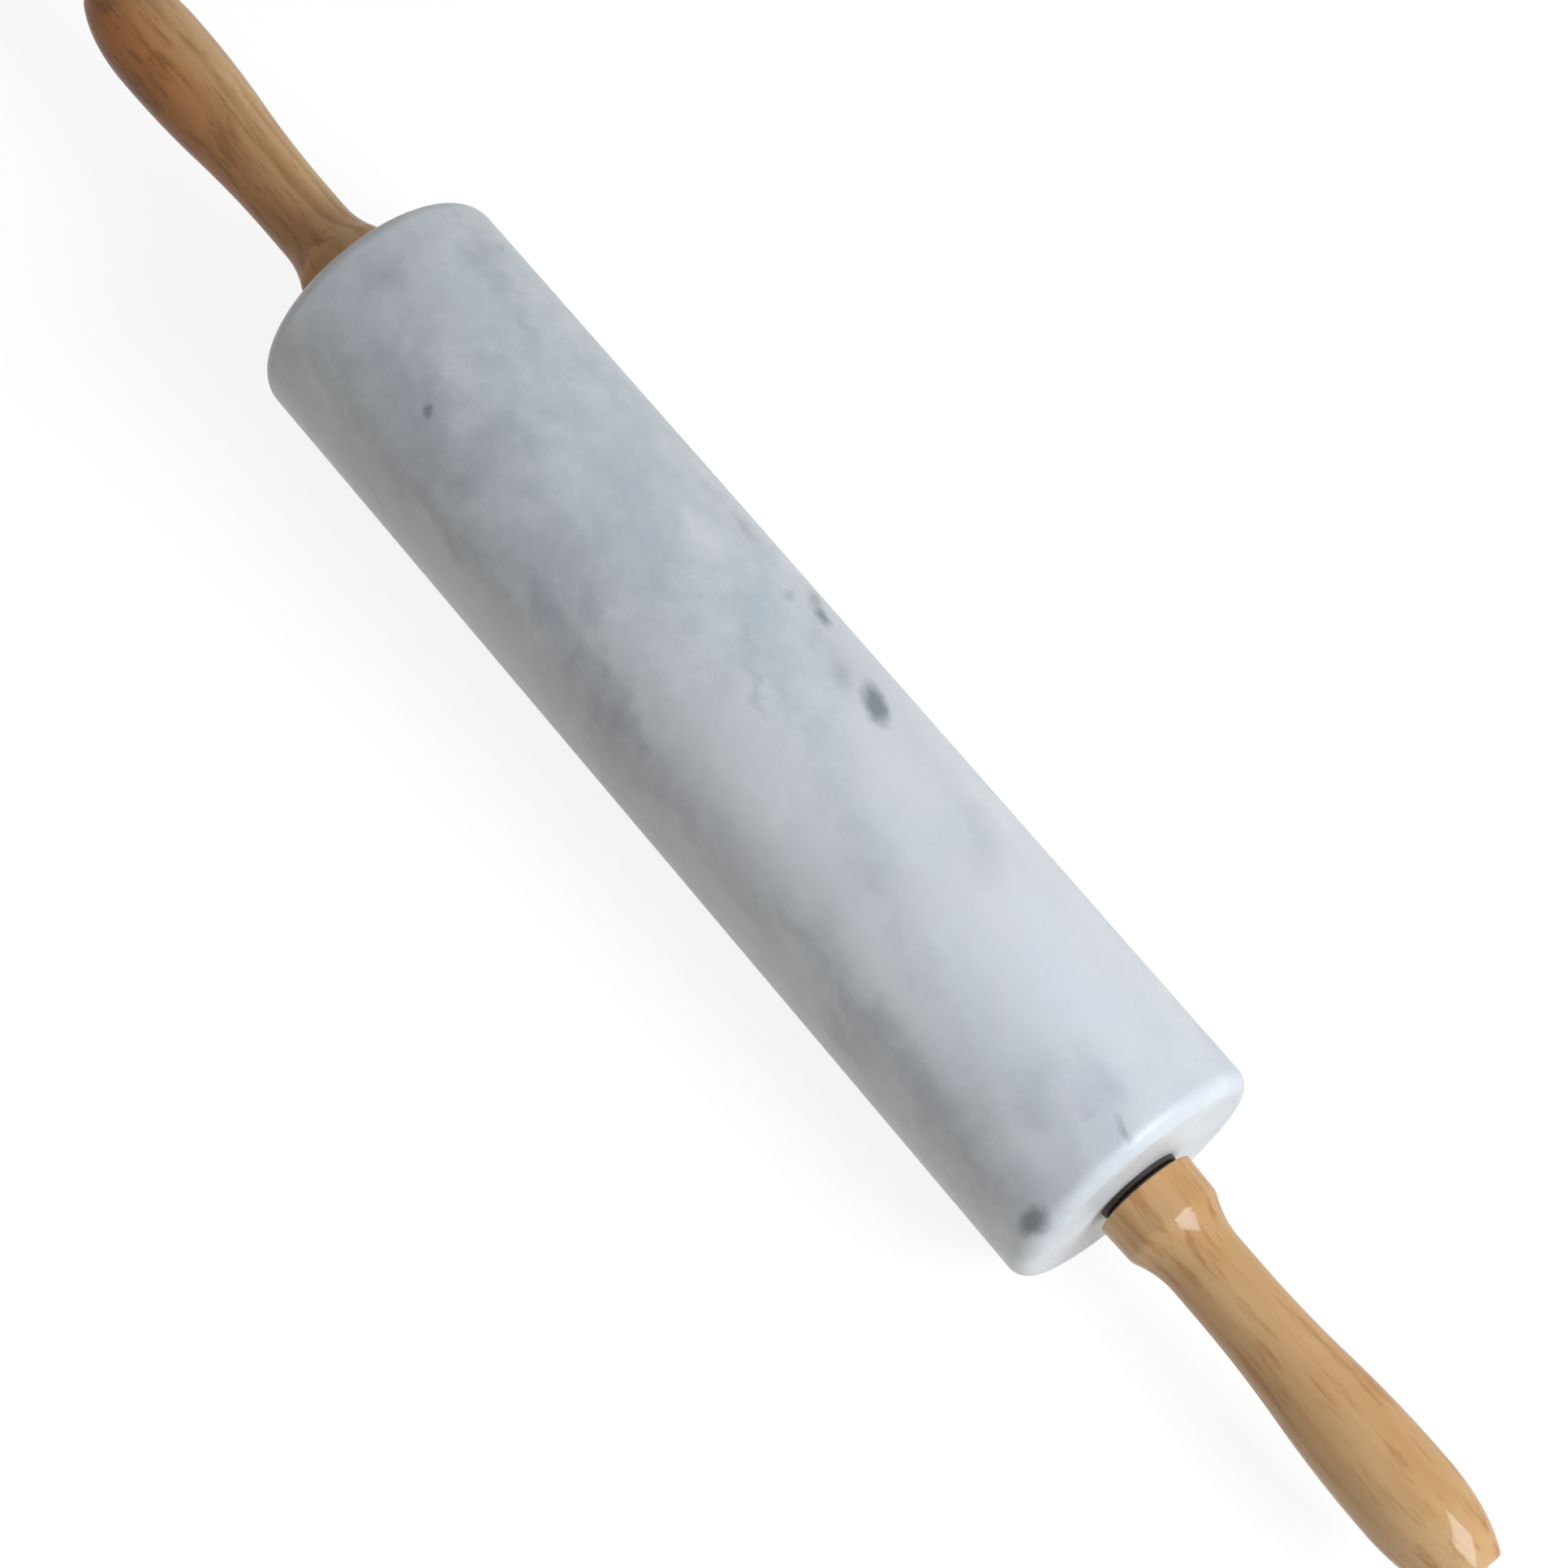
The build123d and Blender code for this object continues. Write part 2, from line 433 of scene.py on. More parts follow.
@dataclass(frozen=True)
class HonedMarble:
    """White marble, sawn, ground round and honed, then waxed.

    The eye gets a soft milky body with cloudy blue-grey bedding, a fine sugar grain, a few darker
    mineral spots, and a broad dull sheen instead of a mirror image.
    """

    radius: float
    pale: str = "#DEDEDD"
    grey: str = "#B9BBBD"
    lilac: str = "#C8C6CE"
    spot: str = "#6A7579"
    smoke: str = "#A3A4AA"
    mist: str = "#BAC5C8"
    milk: str = "#E4E2E1"
    cloud: Noise = Noise(38.0, 2.0, 0.34, 0.66, 0.29)
    bedding: Noise = Noise(11.0, 4.0, 0.32, 0.68, 0.34)
    mottle: Noise = Noise(6.0, 3.0, 0.30, 0.70, 0.28)
    # Real sugar grain is about half as large, and is drawn this coarse so that it shows
    grain: Noise = Noise(0.9, 1.0, 0.30, 0.72, 0.09)
    hue: Noise = Noise(19.0, 2.0, 0.40, 0.62)
    hue_strength: float = 0.30
    # The bedding's forms are this many times as long as wide, at this slant in degrees to the
    # axle, as seen from the side of the barrel that faces the camera
    bedding_stretch: float = 2.4
    bedding_slant: float = 27.0
    facing: float = -13.6
    # How far spots, clouds and smoke have their edges pushed about
    fringe_mm: float = 2.5
    ragged_mm: float = 5.0
    torn_mm: float = 11.0
    # Clouds and smoke keep at least this share of their strength, and the rest follows the stone
    kept_share: float = 0.58
    broken_by_bedding: float = 0.42
    broken_by_mottle: float = 0.32

    # A mark goes at least this share of the barrel's radius into the stone
    depth_share: float = 1 / 3

    # Placed where the photographed stone has its marks
    MARKS: ClassVar[Mapping[Tone, Sequence[Mark]]] = {
        Tone.MIST: (
            Mark(-75, 32, 130, 50, -14, 0.45),
            Mark(-75, 40, 34, 14, -28, 0.55),
            Mark(-8, 30, 50, 20, -25, 0.45),
            Mark(92, -20, 44, 9, -6, 0.25),
        ),
        Tone.MILK: (
            Mark(26, -26, 62, 24, -10, 0.80),
            Mark(64, -32, 60, 14, -8, 0.65),
            Mark(80, 25, 110, 52, -12, 0.60),
            Mark(36, 22, 60, 30, -24, 0.60),
            Mark(60, 52, 150, 22, -4, 0.65),
            Mark(-28, 27, 18, 8, -6, 0.70),
            Mark(112, -33, 24, 12, -10, 0.50),
            Mark(-50, -72, 70, 16, -4, 0.60),
            Mark(30, -74, 70, 14, 0, 0.55),
            Mark(-84, 38, 20, 4, -52, 0.20),
        ),
        Tone.SMOKE: (
            Mark(-88, -30, 50, 12, -22, 0.42),
            Mark(-115, -6, 12, 10, -60, 0.55),
            Mark(-68, -8, 16, 24, 0, 0.34),
            Mark(-70, -34, 10, 26, 10, 0.36),
            Mark(-40, -26, 66, 18, -10, 0.24),
            # These smoke marks lie along the barrel's camera side at about 50 degrees below the
            # top, where the key lamp's light falls off: they are partly the stone's own smoke and
            # partly painted shade
            Mark(-20, -49, 64, 11, -8, 0.80),
            Mark(-14, -50, 30, 11, -14, 0.60),
            Mark(-62, -53, 60, 8, 0, 0.40),
            Mark(84, -54, 84, 11, -4, 0.42),
            Mark(70, -70, 16, 9, 0, 0.45),
            Mark(114, -3, 22, 10, -20, 0.34),
            Mark(106, -18, 12, 14, 0, 0.22),
            Mark(58, 29, 24, 9, -20, 0.30),
            Mark(-102, 34, 32, 7, -14, 0.40),
            Mark(-28, 51, 12, 7, -30, 0.40),
            Mark(5, 2, 24, 3.0, -22, 0.35),
        ),
        Tone.SPOT: (
            Mark(21.8, 37.0, 12.6, 6.4, -35, 0.85, 0.65),
            Mark(13.0, 33.0, 9.0, 5.0, -35, 0.28),
            Mark(-1.5, 50.6, 7.0, 4.4, -35, 0.80, 0.8),
            Mark(-6.0, 57.0, 11.0, 4.0, -62, 0.45, 0.9),
            Mark(-8.2, 41.8, 4.5, 2.2, -60, 0.30),
            Mark(-86.0, -26.4, 3.4, 2.4, -40, 0.70, 0.8),
            Mark(122.6, -55.6, 9.5, 5.4, 84, 0.80, 0.7),
            Mark(-111.0, 53.4, 6.5, 2.0, -62, 0.30),
            Mark(122.0, -4.2, 6.0, 2.0, -12, 0.45),
        ),
    }

    def make(self) -> bpy.types.Material:
        """Build the marble's material."""
        material, tree = new_material("honed_marble")
        place = in_millimetres(tree)
        fringed = self._pushed(tree, place, self.fringe_mm)
        ragged = self._pushed(tree, place, self.ragged_mm)
        torn = self._pushed(tree, ragged, self.torn_mm)
        bedding = add_node(
            tree,
            "ShaderNodeMapping",
            {
                "Vector": torn,
                "Rotation": self._bedding_frame(),
                "Scale": (self.bedding_stretch, 1, 1),
            },
            vector_type="TEXTURE",
        ).outputs["Vector"]
        cloud = self._noise(tree, bedding, self.cloud)
        bands = self._noise(tree, bedding, self.bedding)
        mottle = self._noise(tree, ragged, self.mottle)
        hue = self._noise(tree, ragged, self.hue)
        grain = self._noise(tree, place, self.grain)
        shade = self._weighted(
            tree,
            (
                (cloud, self.cloud.grey_share),
                (bands, self.bedding.grey_share),
                (mottle, self.mottle.grey_share),
                (grain, self.grain.grey_share),
            ),
        )
        lilac = self._weighted(tree, ((hue, self.hue_strength),))
        # Clouds and smoke are broken up by the stone's own mottle, so that they look grown
        grown = self._weighted(
            tree,
            ((bands, self.broken_by_bedding), (mottle, self.broken_by_mottle)),
            self.kept_share,
        )
        colour: object = linear_colour(self.pale)
        for pattern, tint in (
            (shade, self.grey),
            (lilac, self.lilac),
            (self._marks(tree, torn, Tone.MIST, grown), self.mist),
            (self._marks(tree, torn, Tone.MILK, grown), self.milk),
            (self._marks(tree, torn, Tone.SMOKE, grown), self.smoke),
            (self._marks(tree, fringed, Tone.SPOT), self.spot),
        ):
            colour = add_node(
                tree,
                "ShaderNodeMix",
                {0: pattern, 6: colour, 7: linear_colour(tint)},
                data_type="RGBA",
            ).outputs[2]
        bump = add_node(
            tree,
            "ShaderNodeBump",
            {"Height": grain, "Strength": 0.05, "Distance": 0.05 * MM},
        )
        roughness = add_node(
            tree,
            "ShaderNodeMapRange",
            {"Value": grain, "To Min": 0.38, "To Max": 0.46},
        )
        finish_surface(
            tree,
            {
                "Base Color": colour,
                "Roughness": roughness.outputs["Result"],
                "IOR": 1.49,
                "Subsurface Weight": 0.15,
                "Subsurface Radius": (1.0, 1.0, 1.0),
                "Subsurface Scale": 1.5 * MM,
                "Normal": bump.outputs["Normal"],
            },
        )
        return material

    def _bedding_frame(self) -> tuple[float, float, float]:
        """Rotation of the frame whose X runs along the bedding on the side facing the camera."""
        turn = Matrix.Rotation(-radians(self.facing), 3, "X")
        turn = turn @ Matrix.Rotation(-radians(self.bedding_slant), 3, "Z")
        return tuple(turn.to_euler("XYZ"))

    def _pushed(
        self, tree: bpy.types.NodeTree, place: bpy.types.NodeSocket, size: float
    ) -> bpy.types.NodeSocket:
        """The place pushed about by noise of a size, so that no mark has a clean edge."""
        push = add_node(
            tree,
            "ShaderNodeTexNoise",
            {"Vector": place, "Scale": 1 / size, "Detail": 3.0},
        )
        centred = add_node(
            tree,
            "ShaderNodeVectorMath",
            {0: push.outputs["Color"], 1: (0.5, 0.5, 0.5)},
            operation="SUBTRACT",
        )
        sized = add_node(
            tree,
            "ShaderNodeVectorMath",
            {0: centred.outputs["Vector"], "Scale": size},
            operation="SCALE",
        )
        moved = add_node(
            tree,
            "ShaderNodeVectorMath",
            {0: place, 1: sized.outputs["Vector"]},
            operation="ADD",
        )
        return moved.outputs["Vector"]

    def _noise(
        self, tree: bpy.types.NodeTree, place: bpy.types.NodeSocket, noise: Noise
    ) -> bpy.types.NodeSocket:
        """The noise as a pattern from 0 to 1."""
        level = add_node(
            tree,
            "ShaderNodeTexNoise",
            {"Vector": place, "Scale": 1 / noise.size, "Detail": noise.detail, "Roughness": 0.55},
        )
        spread = add_node(
            tree,
            "ShaderNodeMapRange",
            {"Value": level.outputs["Fac"], "From Min": noise.low, "From Max": noise.high},
            interpolation_type="SMOOTHSTEP",
        )
        return spread.outputs["Result"]

    def _weighted(
        self,
        tree: bpy.types.NodeTree,
        parts: Sequence[tuple[bpy.types.NodeSocket, float]],
        start: float = 0.0,
    ) -> bpy.types.NodeSocket:
        """The sum of a start value and several patterns, each with its weight."""
        total: bpy.types.NodeSocket | float = start
        for pattern, weight in parts:
            total = add_node(
                tree,
                "ShaderNodeMath",
                {0: pattern, 1: weight, 2: total},
                operation="MULTIPLY_ADD",
            ).outputs["Value"]
        return total

    def _marks(
        self,
        tree: bpy.types.NodeTree,
        place: bpy.types.NodeSocket,
        tone: Tone,
        grown: bpy.types.NodeSocket | float = 1.0,
    ) -> bpy.types.NodeSocket:
        """One pattern that holds every mark of a tone.

        Args:
            tree: the marble's node tree.
            place: the place in millimetres, pushed about so that the marks' edges are ragged.
            tone: the marks' tone.
            grown: what the marks' strength is multiplied by.

        Returns:
            The pattern, from 0 to 1.
        """
        strongest: bpy.types.NodeSocket | float = 0.0
        for mark in self.MARKS[tone]:
            around = radians(mark.around)
            turn = Matrix.Rotation(-around, 3, "X") @ Matrix.Rotation(radians(mark.slant), 3, "Z")
            inside = add_node(
                tree,
                "ShaderNodeMapping",
                {
                    "Vector": place,
                    "Location": (
                        mark.along,
                        self.radius * sin(around),
                        self.radius * cos(around),
                    ),
                    "Rotation": tuple(turn.to_euler("XYZ")),
                    "Scale": (
                        mark.length / 2,
                        mark.width / 2,
                        max(mark.width, self.radius * self.depth_share),
                    ),
                },
                vector_type="TEXTURE",
            )
            distance = add_node(
                tree,
                "ShaderNodeVectorMath",
                {0: inside.outputs["Vector"]},
                operation="LENGTH",
            )
            fade = add_node(
                tree,
                "ShaderNodeMapRange",
                {
                    "Value": distance.outputs["Value"],
                    "From Min": 1 - mark.fade_share,
                    "From Max": 1 + mark.fade_share / 2,
                    "To Min": mark.strength,
                    "To Max": 0.0,
                },
                interpolation_type="SMOOTHSTEP",
            )
            strongest = add_node(
                tree,
                "ShaderNodeMath",
                {0: fade.outputs["Result"], 1: strongest},
                operation="MAXIMUM",
            ).outputs["Value"]
        marks = add_node(
            tree, "ShaderNodeMath", {0: strongest, 1: grown}, operation="MULTIPLY", use_clamp=True
        )
        return marks.outputs["Value"]


@dataclass(frozen=True)
class VarnishedWood:
    """Rubberwood, turned, sanded, stained and sprayed with clear varnish.

    The eye gets a honey ground with painted shade that darkens it towards one side, with soft
    brown streaks, short vessel lines along the grain and faint growth rings, under a smooth coat
    that shows the lamp as a small sharp highlight. The varnish fills the pores, so the wood under
    it has no sheen.
    """

    name: str
    ground: str
    painted_shade: str
    deep: str
    streak: str
    vessel: str
    # Noise levels between which streaks and vessels come up: lower ones give more of them
    streak_limits: tuple[float, float]
    vessel_limits: tuple[float, float]
    # Painted shade that darkens one side of the handle: that side's angle from +Z towards +Y in
    # degrees, where its edge lies along that direction in the middle of the pin, how that drifts
    # along the axle, and how soft the edge is
    shade_side: float
    shade_edge: float
    shade_drift: float
    shade_mm: float
    # Where the growth rings' middle lies in Y and Z, in millimetres
    pith: tuple[float, float]
    streak_length_mm: float
    streak_width_mm: float
    vessel_length_mm: float
    vessel_width_mm: float = 0.95
    stain_length_mm: float = 60.0
    stain_width_mm: float = 12.0
    stain_limits: tuple[float, float] = (0.35, 0.68)
    wander_length_mm: float = 34.0
    wander_width_mm: float = 14.0
    wander_mm: float = 3.2
    # A ring's width, and how much the rings' radius follows the place along the axle
    ring_mm: float = 3.4
    ring_drift: float = 0.02
    # Shares of a ring's width at which its dark edge starts to show and is darkest
    ring_dark_shares: tuple[float, float] = (0.2, 0.9)
    # What the side away from the painted shade keeps of its stains and streaks, so that side is
    # also painted lighter
    lit_side_share: float = 0.4
    stain_strength: float = 0.45
    ring_strength: float = 0.50
    streak_strength: float = 0.70
    vessel_strength: float = 0.40

    def make(self) -> bpy.types.Material:
        """Build the wood's material."""
        material, tree = new_material(self.name)
        place = in_millimetres(tree)
        wavy = self._wavy(tree, place)
        stain = self._along_grain(
            tree, wavy, self.stain_length_mm, self.stain_width_mm, self.stain_limits
        )
        rings = add_node(
            tree, "ShaderNodeMath", {0: self._rings(tree, wavy), 1: stain}, operation="MULTIPLY"
        ).outputs["Value"]
        streaks = self._along_grain(
            tree, wavy, self.streak_length_mm, self.streak_width_mm, self.streak_limits
        )
        vessels = self._along_grain(
            tree, wavy, self.vessel_length_mm, self.vessel_width_mm, self.vessel_limits
        )
        # Painted shade: the handle darker towards one side, with its stains and streaks thinned on
        # the paler side
        painted_shade = self._shade_across(tree, wavy)
        shade_weight = add_node(
            tree,
            "ShaderNodeMapRange",
            {"Value": painted_shade, "To Min": self.lit_side_share, "To Max": 1.0},
        ).outputs["Result"]
        stains = add_node(
            tree, "ShaderNodeMath", {0: stain, 1: shade_weight}, operation="MULTIPLY"
        ).outputs["Value"]
        flecks = add_node(
            tree, "ShaderNodeMath", {0: streaks, 1: shade_weight}, operation="MULTIPLY"
        ).outputs["Value"]
        colour: object = linear_colour(self.ground)
        for pattern, tint, strength in (
            (painted_shade, self.painted_shade, 1.0),
            (stains, self.deep, self.stain_strength),
            (rings, self.deep, self.ring_strength),
            (flecks, self.streak, self.streak_strength),
            (vessels, self.vessel, self.vessel_strength),
        ):
            factor = add_node(
                tree, "ShaderNodeMath", {0: pattern, 1: strength}, operation="MULTIPLY"
            )
            colour = add_node(
                tree,
                "ShaderNodeMix",
                {0: factor.outputs["Value"], 6: colour, 7: linear_colour(tint)},
                data_type="RGBA",
            ).outputs[2]
        bump = add_node(
            tree,
            "ShaderNodeBump",
            {"Height": vessels, "Strength": 0.15, "Distance": 0.06 * MM},
            invert=True,
        )
        roughness = add_node(
            tree, "ShaderNodeMapRange", {"Value": vessels, "To Min": 0.42, "To Max": 0.58}
        )
        finish_surface(
            tree,
            {
                "Base Color": colour,
                "Roughness": roughness.outputs["Result"],
                "IOR": 1.5,
                "Specular IOR Level": 0.0,
                "Normal": bump.outputs["Normal"],
                "Coat Weight": 0.45,
                "Coat Roughness": 0.10,
                "Coat IOR": 1.5,
            },
        )
        return material

    def _shade_across(
        self, tree: bpy.types.NodeTree, place: bpy.types.NodeSocket
    ) -> bpy.types.NodeSocket:
        """Painted shade: how near a place is to the side of the handle that is drawn darker."""
        side = radians(self.shade_side)
        across = add_node(
            tree,
            "ShaderNodeVectorMath",
            {0: place, 1: (self.shade_drift, sin(side), cos(side))},
            operation="DOT_PRODUCT",
        )
        blend = add_node(
            tree,
            "ShaderNodeMapRange",
            {
                "Value": across.outputs["Value"],
                "From Min": self.shade_edge - self.shade_mm / 2,
                "From Max": self.shade_edge + self.shade_mm / 2,
            },
            interpolation_type="SMOOTHSTEP",
        )
        return blend.outputs["Result"]

    def _wavy(
        self, tree: bpy.types.NodeTree, place: bpy.types.NodeSocket
    ) -> bpy.types.NodeSocket:
        """The place with the grain's slow wander across it."""
        across = 1 / self.wander_width_mm
        slow = add_node(
            tree,
            "ShaderNodeMapping",
            {"Vector": place, "Scale": (1 / self.wander_length_mm, across, across)},
        )
        push = add_node(
            tree,
            "ShaderNodeTexNoise",
            {"Vector": slow.outputs["Vector"], "Scale": 1.0, "Detail": 1.0},
        )
        centre = -self.wander_mm / 2
        sized = add_node(
            tree,
            "ShaderNodeVectorMath",
            {
                0: push.outputs["Color"],
                1: (0.0, self.wander_mm, self.wander_mm),
                2: (0.0, centre, centre),
            },
            operation="MULTIPLY_ADD",
        )
        moved = add_node(
            tree,
            "ShaderNodeVectorMath",
            {0: place, 1: sized.outputs["Vector"]},
            operation="ADD",
        )
        return moved.outputs["Vector"]

    def _along_grain(
        self,
        tree: bpy.types.NodeTree,
        place: bpy.types.NodeSocket,
        length: float,
        width: float,
        limits: tuple[float, float],
    ) -> bpy.types.NodeSocket:
        """Marks of a length along the grain and a width across it, in millimetres."""
        drawn_out = add_node(
            tree,
            "ShaderNodeMapping",
            {"Vector": place, "Scale": (1 / length, 1 / width, 1 / width)},
        )
        noise = add_node(
            tree,
            "ShaderNodeTexNoise",
            {"Vector": drawn_out.outputs["Vector"], "Scale": 1.0, "Detail": 4.0, "Roughness": 0.58},
        )
        spread = add_node(
            tree,
            "ShaderNodeMapRange",
            {"Value": noise.outputs["Fac"], "From Min": limits[0], "From Max": limits[1]},
            interpolation_type="SMOOTHSTEP",
        )
        return spread.outputs["Result"]

    def _rings(
        self, tree: bpy.types.NodeTree, place: bpy.types.NodeSocket
    ) -> bpy.types.NodeSocket:
        """Growth rings about a pith that lies beside the handle, dark at each ring's outer edge."""
        from_pith = add_node(
            tree,
            "ShaderNodeVectorMath",
            {0: place, 1: (0, *self.pith)},
            operation="SUBTRACT",
        )
        across = add_node(
            tree,
            "ShaderNodeVectorMath",
            {0: from_pith.outputs["Vector"], 1: (self.ring_drift, 1, 1)},
            operation="MULTIPLY",
        )
        distance = add_node(
            tree, "ShaderNodeVectorMath", {0: across.outputs["Vector"]}, operation="LENGTH"
        )
        count = add_node(
            tree,
            "ShaderNodeMath",
            {0: distance.outputs["Value"], 1: self.ring_mm},
            operation="DIVIDE",
        )
        phase = add_node(tree, "ShaderNodeMath", {0: count.outputs["Value"]}, operation="FRACT")
        start, darkest = self.ring_dark_shares
        edge = add_node(
            tree,
            "ShaderNodeMapRange",
            {"Value": phase.outputs["Value"], "From Min": start, "From Max": darkest},
            interpolation_type="SMOOTHSTEP",
        )
        gone = add_node(
            tree,
            "ShaderNodeMapRange",
            {
                "Value": phase.outputs["Value"],
                "From Min": darkest,
                "From Max": 1.0,
                "To Min": 1.0,
                "To Max": 0.0,
            },
        )
        ring = add_node(
            tree,
            "ShaderNodeMath",
            {0: edge.outputs["Result"], 1: gone.outputs["Result"]},
            operation="MULTIPLY",
        )
        return ring.outputs["Value"]


@dataclass(frozen=True)
class MouldedNylon:
    """Black nylon, injection moulded in a fine-textured tool.

    The eye gets a warm near-black with a dull, slightly uneven sheen.
    """

    colour: str = "#302825"
    worn: str = "#3E3532"
    texture_mm: float = 0.35

    def make(self) -> bpy.types.Material:
        """Build the nylon's material."""
        material, tree = new_material("moulded_nylon")
        place = in_millimetres(tree)
        texture = add_node(
            tree,
            "ShaderNodeTexNoise",
            {"Vector": place, "Scale": 1 / self.texture_mm, "Detail": 2.0},
        ).outputs["Fac"]
        colour = add_node(
            tree,
            "ShaderNodeMix",
            {0: texture, 6: linear_colour(self.colour), 7: linear_colour(self.worn)},
            data_type="RGBA",
        )
        bump = add_node(
            tree, "ShaderNodeBump", {"Height": texture, "Strength": 0.2, "Distance": 0.03 * MM}
        )
        roughness = add_node(
            tree, "ShaderNodeMapRange", {"Value": texture, "To Min": 0.48, "To Max": 0.62}
        )
        finish_surface(
            tree,
            {
                "Base Color": colour.outputs[2],
                "Roughness": roughness.outputs["Result"],
                "IOR": 1.53,
                "Normal": bump.outputs["Normal"],
            },
        )
        return material


@dataclass(frozen=True)
class TurnedMetal:
    """A metal turned on a lathe, left as cut or plated.

    The eye gets fine rings about the axle and a tint that wanders slightly where hands and oil
    have dulled it.
    """

    name: str
    colour: str
    dulled: str
    smoothest: float
    roughest: float
    feed_mm: float = 0.25
    dull_mm: float = 3.0

    def make(self) -> bpy.types.Material:
        """Build the metal's material."""
        material, tree = new_material(self.name)
        place = in_millimetres(tree)
        along = add_node(tree, "ShaderNodeSeparateXYZ", {"Vector": place}).outputs["X"]
        wave = add_node(
            tree,
            "ShaderNodeMath",
            {0: along, 1: FULL_TURN / self.feed_mm},
            operation="MULTIPLY",
        )
        rings = add_node(tree, "ShaderNodeMath", {0: wave.outputs["Value"]}, operation="SINE")
        dull = add_node(
            tree,
            "ShaderNodeTexNoise",
            {"Vector": place, "Scale": 1 / self.dull_mm, "Detail": 3.0},
        ).outputs["Fac"]
        colour = add_node(
            tree,
            "ShaderNodeMix",
            {0: dull, 6: linear_colour(self.colour), 7: linear_colour(self.dulled)},
            data_type="RGBA",
        )
        bump = add_node(
            tree,
            "ShaderNodeBump",
            {"Height": rings.outputs["Value"], "Strength": 0.15, "Distance": 0.01 * MM},
        )
        roughness = add_node(
            tree,
            "ShaderNodeMapRange",
            {"Value": dull, "To Min": self.smoothest, "To Max": self.roughest},
        )
        finish_surface(
            tree,
            {
                "Base Color": colour.outputs[2],
                "Metallic": 1.0,
                "Roughness": roughness.outputs["Result"],
                "Normal": bump.outputs["Normal"],
            },
        )
        return material


@dataclass
class MarbleBarrel:
    """The stone barrel: a ground cylinder with well rounded ends and a bore right through."""

    edge_round: float = 4.0
    bore_radius: float = 8.0
    bore_chamfer: float = 0.5
    segments: int = 320

    def build(self) -> None:
        """Turn the barrel and put it in place of its node."""
        start, end, radius = reach_of("marble_barrel")
        outline = Outline(end, self.bore_radius + self.bore_chamfer)
        outline.line(end, radius - self.edge_round).arc(end - self.edge_round, radius)
        outline.line(start + self.edge_round, radius).arc(start, radius - self.edge_round)
        outline.line(start, self.bore_radius + self.bore_chamfer)
        outline.line(start + self.bore_chamfer, self.bore_radius)
        outline.line(end - self.bore_chamfer, self.bore_radius)
        mesh = turned_mesh("stone_barrel", outline.finished(), segments=self.segments)
        marble = HonedMarble(radius=radius).make()
        add_piece("stone_barrel", mesh, marble, Body.ROLLER, "marble_barrel")


@dataclass
class TurnedHandle:
    """A wooden handle, with places measured outward from its inner face."""

    side: Side
    wood: VarnishedWood
    collar_face_radius: float = 11.3
    collar_shoulder_radius: float = 11.0
    collar_length: float = 9.0
    neck_radius: float = 8.45
    neck_start: float = 18.8
    neck_end: float = 25.8
    swell_radius: float = 10.9
    swell_length: float = 2.5
    nose_length: float = 19.6
    nose_turn_length: float = 9.02
    nose_turn_radius: float = 9.8
    tip_radius: float = 6.5
    recess_radius: float = 6.8
    recess_depth: float = 5.9
    insert_radius: float = 5.0
    insert_depth: float = 19.9
    tip_hole_radius: float = 3.3
    tip_hole_depth: float = 23.4
    face_ease: float = 0.5
    shoulder_ease: float = 1.1
    tip_ease: float = 0.7
    mouth_ease: float = 0.3

    def build(self) -> None:
        """Turn the handle and put it in place of its node."""
        node = self.side.node("handle")
        low, high, _ = reach_of(node)
        inner = min(abs(low), abs(high))
        length = high - low
        swell_end = length - self.nose_length
        swell_start = swell_end - self.swell_length
        turn_over = ((self.neck_end + swell_start) / 2, (self.neck_radius + self.swell_radius) / 2)
        outline = Outline(self.tip_hole_depth, 0)
        outline.line(self.tip_hole_depth, self.tip_hole_radius)
        outline.line(self.insert_depth, self.tip_hole_radius)
        outline.line(self.insert_depth, self.insert_radius)
        outline.line(self.recess_depth, self.insert_radius)
        outline.line(self.recess_depth, self.recess_radius)
        outline.line(0, self.recess_radius, ease=self.mouth_ease)
        outline.line(0, self.collar_face_radius, ease=self.face_ease)
        outline.line(self.collar_length, self.collar_shoulder_radius, ease=self.shoulder_ease)
        outline.arc_into(self.neck_start, self.neck_radius, Vector((1.0, 0.0)))
        outline.line(self.neck_end, self.neck_radius).arc(*turn_over)
        outline.arc(swell_start, self.swell_radius).line(swell_end, self.swell_radius)
        outline.arc(length - self.nose_turn_length, self.nose_turn_radius)
        outline.arc(length, self.tip_radius, ease=self.tip_ease).line(length, 0)
        points = [Vector((inner + point.x, point.y)) for point in outline.finished()]
        mesh = turned_mesh(self.side.node("turned_handle"), points, flip=self.side.value)
        add_piece(
            self.side.node("turned_handle"),
            mesh,
            self.wood.make(),
            Body.HANDLES_AND_AXLE,
            node,
        )


@dataclass
class Hardware:
    """The axle, the nuts, the washers, the inserts and the bushes, which keep their nodes."""

    nodes: Mapping[str, bpy.types.Object]
    nylon: MouldedNylon = MouldedNylon()
    steel: TurnedMetal = TurnedMetal("zinc_plated_steel", "#B9BCC0", "#9A9DA3", 0.28, 0.42)
    brass: TurnedMetal = TurnedMetal("machined_brass", "#CBA45C", "#B18B48", 0.22, 0.36)

    def build(self) -> None:
        """Dress each node of the hardware in its finish."""
        finishes = {
            "nylon": self.nylon.make(),
            "steel": self.steel.make(),
            "brass": self.brass.make(),
        }
        dressed = {"axle_rod": "steel"}
        for side in Side:
            dressed[side.node("bush")] = "nylon"
            dressed[side.node("thrust_washer")] = "nylon"
            dressed[side.node("lock_nut")] = "steel"
            dressed[side.node("spring_washer")] = "steel"
            dressed[side.node("threaded_insert")] = "brass"
        for name, finish in dressed.items():
            node = self.nodes[name]
            node.data.materials.clear()
            node.data.materials.append(finishes[finish])
            log.info("%s: dressed in %s", name, finish)


